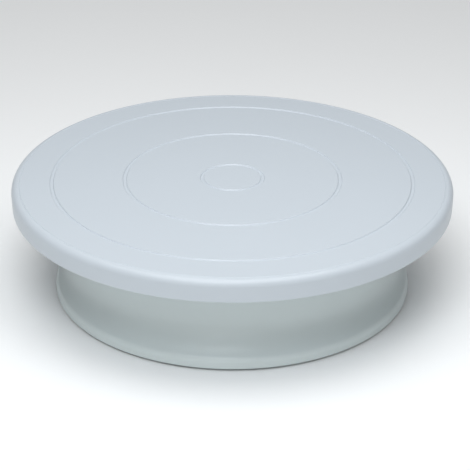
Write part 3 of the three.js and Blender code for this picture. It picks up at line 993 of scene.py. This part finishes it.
BUSH_R = 6.5
BUSH_FLANGE = 1.2  # thickness
SPINDLE_R = 4
SPINDLE_FLANGE = (7, 62.5, 63.5)  # radius, lower and upper faces
TAPPED_HOLE = (2.3, 60.5)  # radius and upper end
SLIP_WASHER_BORE = 4.3
STEEL_WASHER_BORE = 2.7
SCREW_R = 2.1
SCREW_NECK_R = 2  # the plain neck between the head and the thread
SCREW_SEAT_Z = 47.4  # upper face of the head
HEAD_BAND = 1.2  # straight part of the head, above its dome
NECK_LENGTH = 1.5
THREAD_START = 1.7  # above the seat
THREAD_HEIGHT = 0.55
THREAD_ROWS = 16  # to each turn
SCREW_POINT = (1.2, 1)  # radius and length
SCREW_COLUMNS = 48
DOME_ROWS = 12
RECESS_DEPTH = 1.8
RECESS_HALF = (2.5, 1.2)  # half a blade's length at its open end and at its tip
RECESS_HALF_WIDTH = 0.55
RECESS_TAPER = 0.7  # share of that width at the tip


class TURNTABLE_OT_bush(bpy.types.Operator):
    """Build the flanged bush in the hub and the slip washer under it"""

    bl_idname = "turntable.bush"
    bl_label = "Bush and slip washer"

    def execute(self, context):
        low, high = box_mm("hub_bush")
        flange_r = high[0]
        corners = [
            (SPINDLE_BORE_R, low[2], 0.3),
            (BUSH_R, low[2], 0.4),
            (BUSH_R, high[2] - BUSH_FLANGE, 0.2),
            (flange_r, high[2] - BUSH_FLANGE, 0.2),
            (flange_r, high[2], 0.3),
            (SPINDLE_BORE_R, high[2], 0.4),
        ]
        bush = rings(section(corners), around(SMALL_COLUMNS))
        made = object_from("bush", mesh_from("bush", [(bush, True)]))
        finish_piece(made, natural_nylon(), "base", "bearing_plastic", "hub_bush")
        washer = rings(flat_ring(*box_mm("slip_washer"), SLIP_WASHER_BORE, 0.25), around(SMALL_COLUMNS))
        made = object_from("slip_ring", mesh_from("slip_ring", [(washer, True)]))
        finish_piece(made, natural_nylon(), "base", "bearing_plastic", "slip_washer")
        return {"FINISHED"}


class TURNTABLE_OT_spindle(bpy.types.Operator):
    """Build the turned spindle with its flange, and the steel washer under the hub"""

    bl_idname = "turntable.spindle"
    bl_label = "Spindle and washer"

    def execute(self, context):
        low, high = box_mm("spindle")
        flange_r, flange_low, flange_high = SPINDLE_FLANGE
        corners = [
            (0, TAPPED_HOLE[1], 0),
            (TAPPED_HOLE[0], TAPPED_HOLE[1], 0.3),
            (TAPPED_HOLE[0], low[2], 0.3),
            (SPINDLE_R, low[2], 0.4),
            (SPINDLE_R, flange_low, 0.2),
            (flange_r, flange_low, 0.25),
            (flange_r, flange_high, 0.25),
            (SPINDLE_R, flange_high, 0.2),
            (SPINDLE_R, high[2], 0.6),
            (0, high[2], 0),
        ]
        pin = rings(section(corners, closed=False), around(SMALL_COLUMNS))
        made = object_from("pivot_pin", mesh_from("pivot_pin", [(pin, False)]))
        finish_piece(made, zinc_steel(), "turntable", "zinc_steel", "spindle")
        washer = rings(flat_ring(*box_mm("retaining_washer"), STEEL_WASHER_BORE, 0.2), around(SMALL_COLUMNS))
        made = object_from("steel_washer", mesh_from("steel_washer", [(washer, True)]))
        finish_piece(made, zinc_steel(), "turntable", "zinc_steel", "retaining_washer")
        return {"FINISHED"}


def threaded(low, high, pitch, columns):
    """A thread, r = core + height * |2 frac(z / pitch - angle / turn) - 1|, eased to the core at its ends."""
    z = np.linspace(low, high, int((high - low) / pitch * THREAD_ROWS))[:, None]
    angle = around(columns)[None]
    phase = np.mod(z / pitch - angle / (2 * math.pi), 1)
    ease = np.clip(np.minimum(z - low, high - z) / (pitch / 2), 0, 1)
    r = SCREW_R - THREAD_HEIGHT + THREAD_HEIGHT * np.abs(2 * phase - 1) * ease
    return np.stack([r * np.cos(angle), r * np.sin(angle), z + 0 * angle], axis=-1)


def cross_blade(low, high):
    """One blade of a driver: a rectangle that narrows from its open end to its tip, as rings of 4 points."""
    z = np.array([low, low, high, high])
    half_long = np.array([0, *RECESS_HALF, 0])
    half_wide = RECESS_HALF_WIDTH * np.array([0, 1, RECESS_TAPER, 0])
    x = half_long[:, None] * np.array([1, -1, -1, 1])
    y = half_wide[:, None] * np.array([1, 1, -1, -1])
    return np.stack([x, y, z[:, None] + 0 * x], axis=-1)


class TURNTABLE_OT_screw(bpy.types.Operator):
    """Build the pan-head screw: a domed head with a cross recess, a plain neck and a rolled thread"""

    bl_idname = "turntable.screw"
    bl_label = "Screw"

    def execute(self, context):
        pitch = context.scene.turntable_fixing.thread_pitch / MM
        low, high = box_mm("retaining_screw")
        head_r, head_low, tip = high[0], low[2], high[2]
        band = SCREW_SEAT_Z - HEAD_BAND
        dome = [
            (head_r * math.sin(t), band - (band - head_low) * math.cos(t), 0)
            for t in np.linspace(0, math.pi / 2, DOME_ROWS)
        ]
        neck = [(SCREW_NECK_R, SCREW_SEAT_Z, 0.2), (SCREW_NECK_R, SCREW_SEAT_Z + NECK_LENGTH, 0)]
        head = section([*dome, (head_r, SCREW_SEAT_Z, 0.25), *neck], closed=False)
        point_r, point_length = SCREW_POINT
        thread = threaded(SCREW_SEAT_Z + THREAD_START, tip - point_length, pitch, SCREW_COLUMNS)
        core = (SCREW_R - THREAD_HEIGHT, tip - point_length, 0)
        end = section([core, (point_r, tip, 0), (0, tip, 0)], closed=False)
        columns = around(SCREW_COLUMNS)
        grid = np.concatenate([rings(head, columns), thread, rings(end, columns)])
        made = object_from("pan_screw", mesh_from("pan_screw", [(grid, False)]))
        for turn in (0, math.pi / 2):
            blade = cross_blade(head_low - TOOL_OVERRUN, head_low + RECESS_DEPTH)
            blade = blade @ np.array(Matrix.Rotation(turn, 3, "Z"))
            cut(made, object_from("blade", mesh_from("blade", [(blade, False)])), "DIFFERENCE")
        finish_piece(made, zinc_steel(), "turntable", "zinc_steel", "retaining_screw")
        return {"FINISHED"}


GRIP_RINGS = (1.6, 3.2, 4.8)
GRIP_SIZE = 0.3  # depth and half width of each ring's groove


class TURNTABLE_OT_pads(bpy.types.Operator):
    """Build the rubber pads: discs with a rounded edge and grip rings moulded into the face they stand on"""

    bl_idname = "turntable.pads"
    bl_label = "Pads"

    def execute(self, context):
        rubber = tuple(context.scene.turntable_fixing.rubber)
        material = finish_named("moulded_rubber", moulded_rubber, rubber)
        for pad in numbered("foot_pad"):
            low, high = box_mm(pad)
            centre = np.array([*(low + high)[:2] / 2, 0])
            radius, top = (high - low)[0] / 2, high[2]
            face = [(0, 0, 0)]
            for r in GRIP_RINGS:
                face += [(r - GRIP_SIZE, 0, 0.1), (r, GRIP_SIZE, 0.1), (r + GRIP_SIZE, 0, 0.1)]
            corners = [*face, (radius, 0, 0.5), (radius, top, 0.3), (0, top, 0)]
            grid = rings(section(corners, closed=False), around(SMALL_COLUMNS)) + centre
            made = object_from(pad.replace("foot_pad", "rubber_pad"), mesh_from(pad, [(grid, False)]))
            finish_piece(made, material, "base", "pad_rubber", pad)
        return {"FINISHED"}


# ---- Stage ----

WORLD_STRENGTH = 0.31
SOFT_BOXES = {  # watts, size and place in metres, colour
    "front_box": (9.9, (0.9, 0.65), (-0.2, -1.15, 1.6), (0.93, 0.965, 1)),
    "low_box": (3.1, (1.2, 0.5), (-0.3, -2, 0.35), (1, 1, 0.98)),
    "top_box": (5.8, (1.4, 1.4), (0, 0, 1.9), (0.97, 0.985, 1)),
    "near_box": (1.5, (0.6, 0.4), (0, -0.15, 0.5), (0.98, 0.99, 1)),
    "back_box": (1.4, (1.4, 0.8), (0, 1.41, 1.46), (0.98, 0.99, 1)),
}
LIGHT_AIM = (0, 0, 0.05)
FLOOR_HALF = 4  # metres, half a side
FLOOR_LINES = 33
FLOOR_DROP = 0.02 * MM  # keeps the floor just clear of the pads
CAMERA_DISTANCE = 1.1774  # metres, from the middle of the plate's top
CAMERA_ELEVATION = 25.03  # degrees, like the three angles below
CAMERA_PITCH = 26.81
CAMERA_YAW = 0.095
CAMERA_ROLL = 0.226


def add_light(name, energy, size, location, rgb):
    """A rectangular soft box at a place, facing the turntable."""
    data = bpy.data.lights.new(name, "AREA")
    data.shape = "RECTANGLE"
    data.size, data.size_y = size
    data.energy = energy
    data.color = rgb
    made = bpy.data.objects.new(name, data)
    bpy.context.scene.collection.objects.link(made)
    place = np.array(location)
    toward = np.array(LIGHT_AIM) - place
    made.location = location
    made.visible_camera = False  # the boxes light the scene without being seen
    made.rotation_euler = Vector(toward).to_track_quat("-Z", "Y").to_euler()
    return made


class TURNTABLE_OT_stage(bpy.types.Operator):
    """Set up the pale floor, the soft studio light and the camera"""

    bl_idname = "turntable.stage"
    bl_label = "Stage"

    def execute(self, context):
        scene = context.scene
        settings = scene.turntable_stage
        line = np.linspace(-FLOOR_HALF, FLOOR_HALF, FLOOR_LINES)
        x, y = np.meshgrid(line, line, indexing="xy")
        index = np.arange(FLOOR_LINES**2).reshape(FLOOR_LINES, FLOOR_LINES)
        corners = [index[:-1, :-1], index[:-1, 1:], index[1:, 1:], index[1:, :-1]]
        quads = np.stack(corners, axis=-1).reshape(-1, 4)
        points = np.stack([x, y, 0 * x - FLOOR_DROP], axis=-1).reshape(-1, 3)
        mesh = bpy.data.meshes.new("floor")
        mesh.from_pydata(points.tolist(), [], quads.tolist())
        floor = object_from("floor", mesh)
        floor.data.materials.append(painted_floor("studio_floor", tuple(settings.floor)))

        world = bpy.data.worlds.new("studio")
        scene.world = world
        world.use_nodes = True
        background = world.node_tree.nodes["Background"]
        background.inputs["Color"].default_value = (1, 1, 1, 1)
        background.inputs["Strength"].default_value = WORLD_STRENGTH * settings.light
        for name, (energy, size, place, rgb) in SOFT_BOXES.items():
            add_light(name, energy * settings.light, size, place, rgb)

        data = bpy.data.cameras.new("camera")
        data.lens = settings.lens
        data.sensor_width = 36
        camera = bpy.data.objects.new("camera", data)
        scene.collection.objects.link(camera)
        elevation = math.radians(CAMERA_ELEVATION)
        y = -CAMERA_DISTANCE * math.cos(elevation)
        z = CAD_BOX[1][2] + CAMERA_DISTANCE * math.sin(elevation)
        pitch, yaw, roll = (math.radians(a) for a in (CAMERA_PITCH, CAMERA_YAW, CAMERA_ROLL))
        turn = Matrix.Rotation(-yaw, 4, "Z") @ Matrix.Rotation(math.pi / 2 - pitch, 4, "X")
        camera.matrix_world = Matrix.Translation((0, y, z)) @ turn @ Matrix.Rotation(roll, 4, "Z")
        scene.camera = camera
        scene.view_settings.view_transform = "Standard"
        return {"FINISHED"}


# ---- Panel and registration ----

OPERATORS = (
    TURNTABLE_OT_plate,
    TURNTABLE_OT_base,
    TURNTABLE_OT_races,
    TURNTABLE_OT_cage,
    TURNTABLE_OT_balls,
    TURNTABLE_OT_bush,
    TURNTABLE_OT_spindle,
    TURNTABLE_OT_screw,
    TURNTABLE_OT_pads,
    TURNTABLE_OT_stage,
)

SETTINGS = {
    "turntable_plate": PlateSettings,
    "turntable_base": BaseSettings,
    "turntable_bearing": BearingSettings,
    "turntable_fixing": FixingSettings,
    "turntable_stage": StageSettings,
}


class TURNTABLE_PT_sidebar(bpy.types.Panel):
    """Lists the turntable's settings and the operators that build it."""

    bl_label = "Cake Turntable"
    bl_idname = "TURNTABLE_PT_sidebar"
    bl_space_type = "VIEW_3D"
    bl_region_type = "UI"
    bl_category = "Turntable"

    def draw(self, context):
        for name, group in SETTINGS.items():
            box = self.layout.box()
            for key in group.__annotations__:
                box.prop(getattr(context.scene, name), key)
        for operator in OPERATORS:
            self.layout.operator(operator.bl_idname)


CLASSES = (*SETTINGS.values(), *OPERATORS, TURNTABLE_PT_sidebar)


def register():
    """Registers the classes and hangs the settings on the scene."""
    for cls in CLASSES:
        bpy.utils.register_class(cls)
    for name, group in SETTINGS.items():
        setattr(bpy.types.Scene, name, bpy.props.PointerProperty(type=group))


def unregister():
    """Takes the settings and classes away again."""
    for name in SETTINGS:
        delattr(bpy.types.Scene, name)
    for cls in reversed(CLASSES):
        bpy.utils.unregister_class(cls)


def main():
    """Builds every piece and the stage."""
    register()
    for operator in OPERATORS:
        group, name = operator.bl_idname.split(".")
        getattr(getattr(bpy.ops, group), name)()


if __name__ == "__main__":
    main()
